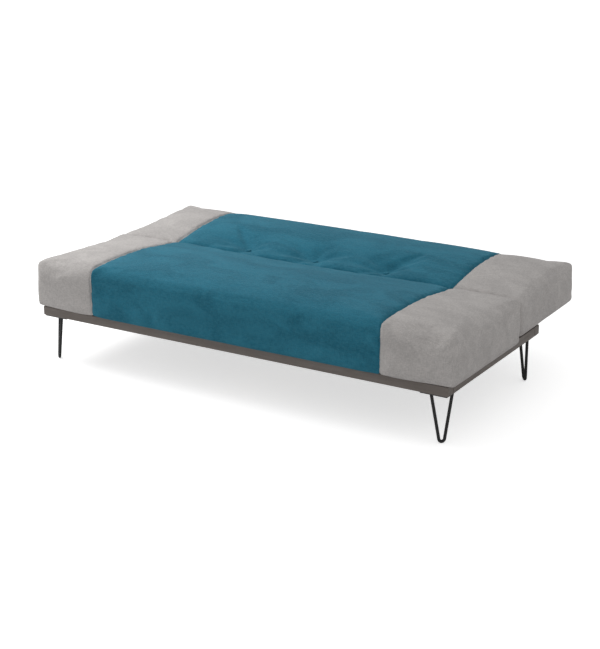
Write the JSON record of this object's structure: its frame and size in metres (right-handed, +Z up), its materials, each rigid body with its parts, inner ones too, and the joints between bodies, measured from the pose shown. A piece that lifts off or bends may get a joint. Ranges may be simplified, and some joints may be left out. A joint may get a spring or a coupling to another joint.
{
  "type": "futon sofa bed",
  "caption": "Click-clack sofa bed laid flat: two crowned upholstered cushions with contrast end panels on a timber frame and hairpin legs.",
  "frame": {"origin": "on the floor, under the middle of the bed's outline when it is laid flat", "axes": "+X along the bed, to the right of a person facing its front edge from outside; +Y from the seat's front edge to the back's free edge; +Z up"},
  "size_m": [1.8996, 1.109, 0.461],
  "materials": {
    "teal_fabric": "short-pile woven cloth, matte",
    "grey_fabric": "short-pile woven cloth, matte",
    "rail_wood": "taupe stain, satin",
    "inner_wood": "bare softwood",
    "leg_steel": "black powder coat",
    "hinge_steel": "zinc-plated plate and wire",
    "foam": "open-cell foam",
    "dust_cloth": "thin black non-woven cloth"
  },
  "bodies": {
    "base": {"corner_block_front_left": "inner_wood", "corner_block_front_right": "inner_wood", "corner_block_rear_left": "inner_wood", "corner_block_rear_right": "inner_wood", "end_rail_left": "rail_wood", "end_rail_right": "rail_wood", "front_rail": "rail_wood", "hairpin_leg_front_left": "leg_steel", "hairpin_leg_front_right": "leg_steel", "hairpin_leg_rear_left": "leg_steel", "hairpin_leg_rear_right": "leg_steel", "hinge_base_plate_left": "hinge_steel", "hinge_base_plate_right": "hinge_steel", "hinge_pin_left": "hinge_steel", "hinge_pin_right": "hinge_steel", "middle_rail": "inner_wood", "rear_rail": "rail_wood"},
    "seat": {"hinge_seat_plate_left": "hinge_steel", "hinge_seat_plate_right": "hinge_steel", "pawl_spring_left": "hinge_steel", "pawl_spring_right": "hinge_steel", "seat_cover_centre": "teal_fabric", "seat_cover_left": "grey_fabric", "seat_cover_right": "grey_fabric", "seat_dust_cloth": "dust_cloth", "seat_far_bar": "inner_wood", "seat_foam": "foam", "seat_middle_bar": "inner_wood", "seat_near_bar": "inner_wood", "seat_side_bar_left": "inner_wood", "seat_side_bar_right": "inner_wood", "seat_spring_1": "hinge_steel", "seat_spring_2": "hinge_steel", "seat_spring_3": "hinge_steel", "seat_spring_4": "hinge_steel"},
    "back": {"back_cover_centre": "teal_fabric", "back_cover_left": "grey_fabric", "back_cover_right": "grey_fabric", "back_dust_cloth": "dust_cloth", "back_far_bar": "inner_wood", "back_foam": "foam", "back_middle_bar": "inner_wood", "back_near_bar": "inner_wood", "back_side_bar_left": "inner_wood", "back_side_bar_right": "inner_wood", "back_spring_1": "hinge_steel", "back_spring_2": "hinge_steel", "back_spring_3": "hinge_steel", "back_spring_4": "hinge_steel", "hinge_back_plate_left": "hinge_steel", "hinge_back_plate_right": "hinge_steel", "tuft_button_1": "teal_fabric", "tuft_button_2": "teal_fabric", "tuft_button_3": "teal_fabric", "tuft_tie_1": "dust_cloth", "tuft_tie_2": "dust_cloth", "tuft_tie_3": "dust_cloth"},
    "pawl_left": {"pawl_left": "hinge_steel"},
    "pawl_right": {"pawl_right": "hinge_steel"}
  },
  "joints": [
    {"name": "back_recline", "type": "hinge", "parent": "base", "child": "back", "pos_m": [0, 0.085, 0.372], "axis": [1, 0, 0], "range_deg": [0, 78]},
    {"name": "seat_lift", "type": "hinge", "parent": "base", "child": "seat", "pos_m": [0, 0.085, 0.372], "axis": [-1, 0, 0], "range_deg": [0, 16]},
    {"name": "pawl_left_swing", "type": "hinge", "parent": "seat", "child": "pawl_left", "pos_m": [-0.8593, 0.06619, 0.32032], "axis": [1, 0, 0], "range_deg": [0, 6]},
    {"name": "pawl_right_swing", "type": "hinge", "parent": "seat", "child": "pawl_right", "pos_m": [0.8593, 0.06619, 0.32032], "axis": [1, 0, 0], "range_deg": [0, 6]}
  ]
}
